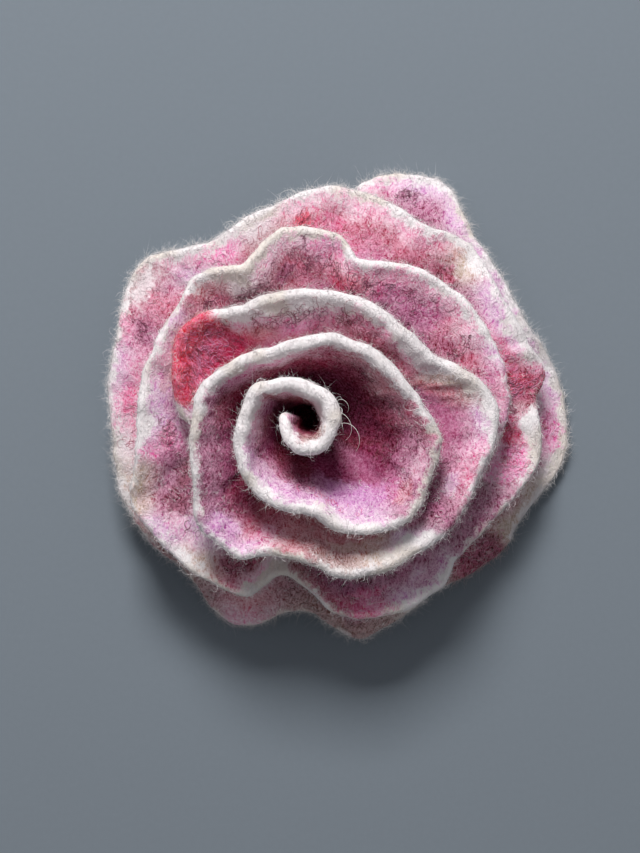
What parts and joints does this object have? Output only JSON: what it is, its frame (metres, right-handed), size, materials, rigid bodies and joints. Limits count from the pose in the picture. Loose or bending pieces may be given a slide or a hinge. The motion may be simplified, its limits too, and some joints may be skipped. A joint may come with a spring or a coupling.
{
  "type": "flower brooch",
  "caption": "Rose wound from two strips of wool felt with ruffled petals, sewn on a plain metal brooch back, lying on its back.",
  "frame": {"origin": "on the surface that the brooch lies on, under the middle of its outline seen from above", "axes": "+Z up out of the heart of the rose, +X to the right and +Y up in the picture, with the bar and needle of the brooch back along X"},
  "size_m": [0.0911, 0.0927, 0.0327],
  "materials": {
    "heart_felt": "wet-felted wool, mottled mauve, pink and maroon, with an undyed cream rim and short loose fibres",
    "outer_felt": "wet-felted wool, mottled pink, rose and lilac, with an undyed cream rim and short loose fibres",
    "pin_steel": "plain nickel-plated steel"
  },
  "bodies": {
    "root": {"heart_strip": "heart_felt", "outer_strip": "outer_felt", "bar_pin": "pin_steel"}
  },
  "joints": []
}
